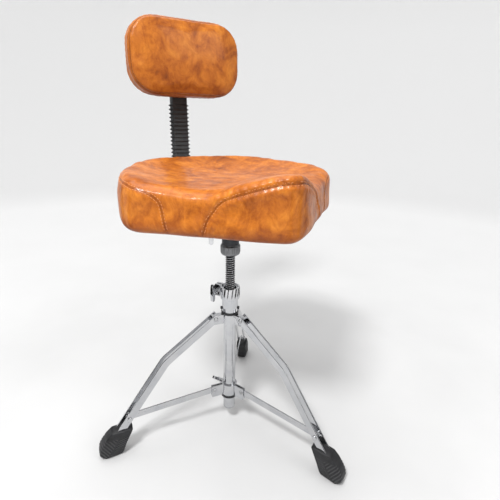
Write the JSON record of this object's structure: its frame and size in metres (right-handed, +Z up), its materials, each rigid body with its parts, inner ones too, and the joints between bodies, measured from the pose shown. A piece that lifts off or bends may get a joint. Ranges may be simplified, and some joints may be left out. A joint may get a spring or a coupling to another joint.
{
  "type": "drum throne",
  "caption": "Drummer's stool: padded motorcycle-style saddle on a screw-height spindle and folding double-strip tripod, with a sliding padded backrest on a bellows-covered bar.",
  "frame": {"origin": "on the floor, under the middle of the whole object's box; the post's axis is 34.9 mm towards +X and 18.9 mm towards -Y from it", "axes": "+Z up along the post, -Y the way the sitter faces, +Y the backrest, +X the sitter's left hand side"},
  "size_m": [0.4748, 0.5412, 0.8287],
  "materials": {
    "chrome": "mirror bright plating",
    "satin_steel": "satin zinc-plated steel",
    "black_steel": "satin black powder coat",
    "black_rubber": "moulded matt black rubber",
    "black_plastic": "matt black plastic",
    "nylon": "natural off-white nylon",
    "cognac_leather": "mottled orange-brown imitation leather, semi-gloss",
    "foam": "open-cell seat foam, hidden under the cover",
    "plywood": "plain plywood, hidden under the cover",
    "lining_cloth": "thin black non-woven lining"
  },
  "bodies": {
    "post": {"base_tube": "chrome", "tube_end_plug": "chrome", "upper_sleeve": "chrome", "hub_washer": "black_plastic", "spindle_nut": "satin_steel", "clamp_collar": "chrome", "clamp_nut": "satin_steel", "leg_hub": "chrome", "sleeve_screw_1": "black_steel", "sleeve_screw_2": "black_steel"},
    "clamp_wing": {"clamp_wing_bolt": "chrome"},
    "brace": {"brace_collar": "chrome", "brace_ring": "black_rubber"},
    "brace_wing": {"brace_wing_bolt": "chrome"},
    "height_guide": {"guide_bush": "nylon"},
    "seat": {"spindle": "satin_steel", "grip_collar": "satin_steel", "seat_bracket": "black_steel", "bar_receiver": "black_steel", "bracket_bolt_1": "satin_steel", "bracket_bolt_2": "satin_steel", "bracket_bolt_3": "satin_steel", "bracket_bolt_4": "satin_steel", "seat_board": "plywood", "seat_foam": "foam", "seat_cover": "cognac_leather", "dust_cover": "lining_cloth"},
    "seat_wing": {"seat_wing_bolt": "chrome"},
    "receiver_wing": {"receiver_wing_bolt": "chrome"},
    "backrest_post": {"backrest_bar": "black_steel", "bellows": "black_rubber"},
    "backrest_pad": {"pad_bracket": "black_steel", "pad_back_panel": "black_plastic", "pad_board": "plywood", "pad_foam": "foam", "pad_cover": "cognac_leather"},
    "pad_wing": {"pad_wing_bolt": "chrome"},
    "leg_a": {"leg_a_strip_left": "chrome", "leg_a_strip_right": "chrome", "leg_a_boot": "black_rubber", "leg_a_hub_pin": "satin_steel"},
    "stay_a": {"stay_a": "chrome", "stay_a_collar_pin": "satin_steel", "stay_a_leg_pin": "satin_steel"},
    "leg_b": {"leg_b_strip_left": "chrome", "leg_b_strip_right": "chrome", "leg_b_boot": "black_rubber", "leg_b_hub_pin": "satin_steel"},
    "stay_b": {"stay_b": "chrome", "stay_b_collar_pin": "satin_steel", "stay_b_leg_pin": "satin_steel"},
    "leg_c": {"leg_c_strip_left": "chrome", "leg_c_strip_right": "chrome", "leg_c_boot": "black_rubber", "leg_c_hub_pin": "satin_steel"},
    "stay_c": {"stay_c": "chrome", "stay_c_collar_pin": "satin_steel", "stay_c_leg_pin": "satin_steel"}
  },
  "joints": [
    {"name": "leg_a_fold", "type": "hinge", "parent": "post", "child": "leg_a", "pos_m": [0.04856, -0.04898, 0.263], "axis": [0.91, 0.4147, 0], "range_deg": [0, 40]},
    {"name": "leg_b_fold", "type": "hinge", "parent": "post", "child": "leg_b", "pos_m": [0.05404, 0.00792, 0.263], "axis": [-0.8141, 0.5807, 0], "range_deg": [0, 40]},
    {"name": "leg_c_fold", "type": "hinge", "parent": "post", "child": "leg_c", "pos_m": [0.00203, -0.01579, 0.263], "axis": [-0.0958, -0.9954, 0], "range_deg": [0, 40]},
    {"name": "brace_slide", "type": "slide", "parent": "post", "child": "brace", "axis": [0, 0, 1], "range_m": [0, 0.09431]},
    {"name": "stay_a_turn", "type": "hinge", "parent": "brace", "child": "stay_a", "pos_m": [0.0494, -0.0508, 0.089], "axis": [0.91, 0.4147, 0], "range_deg": [0, 81.1]},
    {"name": "stay_b_turn", "type": "hinge", "parent": "brace", "child": "stay_b", "pos_m": [0.0552, 0.00954, 0.089], "axis": [-0.8141, 0.5807, 0], "range_deg": [0, 81.1]},
    {"name": "stay_c_turn", "type": "hinge", "parent": "brace", "child": "stay_c", "pos_m": [0.00004, -0.01559, 0.089], "axis": [-0.0958, -0.9954, 0], "range_deg": [0, 81.1]},
    {"name": "clamp_wing_turn", "type": "hinge", "parent": "post", "child": "clamp_wing", "pos_m": [0.01482, -0.00073, 0.31485], "axis": [-0.8387, -0.5446, 0], "range_deg": [0, 450]},
    {"name": "brace_wing_turn", "type": "hinge", "parent": "brace", "child": "brace_wing", "pos_m": [0.02542, 0.0018, 0.0915], "axis": [-0.4147, 0.91, 0], "range_deg": [0, 450]},
    {"name": "seat_height", "type": "slide", "parent": "post", "child": "height_guide", "axis": [0, 0, 1], "range_m": [-0.0632, 0.0767]},
    {"name": "seat_turn", "type": "hinge", "parent": "height_guide", "child": "seat", "pos_m": [0.03488, -0.01895, 0.288], "axis": [0, 0, 1], "range_deg": [-5040, 6120]},
    {"name": "seat_wing_turn", "type": "hinge", "parent": "seat", "child": "seat_wing", "pos_m": [0.01991, -0.01132, 0.4325], "axis": [-0.891, 0.454, 0], "range_deg": [0, 450]},
    {"name": "receiver_wing_turn", "type": "hinge", "parent": "seat", "child": "receiver_wing", "pos_m": [0.03488, 0.09005, 0.4583], "axis": [0, 0, -1], "range_deg": [0, 450]},
    {"name": "backrest_depth", "type": "slide", "parent": "seat", "child": "backrest_post", "axis": [0, 1, 0], "range_m": [-0.025, 0.025]},
    {"name": "backrest_height", "type": "slide", "parent": "backrest_post", "child": "backrest_pad", "axis": [0, 0.0436, 0.999], "range_m": [-0.04, 0.045], "deforming": ["bellows"]},
    {"name": "pad_wing_turn", "type": "hinge", "parent": "backrest_pad", "child": "pad_wing", "pos_m": [0.03488, 0.2544, 0.71737], "axis": [0, 0.999, -0.0436], "range_deg": [0, 450]}
  ],
  "couplings": [
    {"joint": "leg_b_fold", "follows": "leg_a_fold", "ratio": 1},
    {"joint": "leg_c_fold", "follows": "leg_a_fold", "ratio": 1},
    {"joint": "brace_slide", "follows": "leg_a_fold", "m_per_rad": 0.1348},
    {"joint": "stay_a_turn", "follows": "leg_a_fold", "ratio": 2.0251},
    {"joint": "stay_b_turn", "follows": "leg_a_fold", "ratio": 2.0251},
    {"joint": "stay_c_turn", "follows": "leg_a_fold", "ratio": 2.0251},
    {"joint": "seat_height", "follows": "seat_turn", "m_per_rad": 0.0007162}
  ]
}
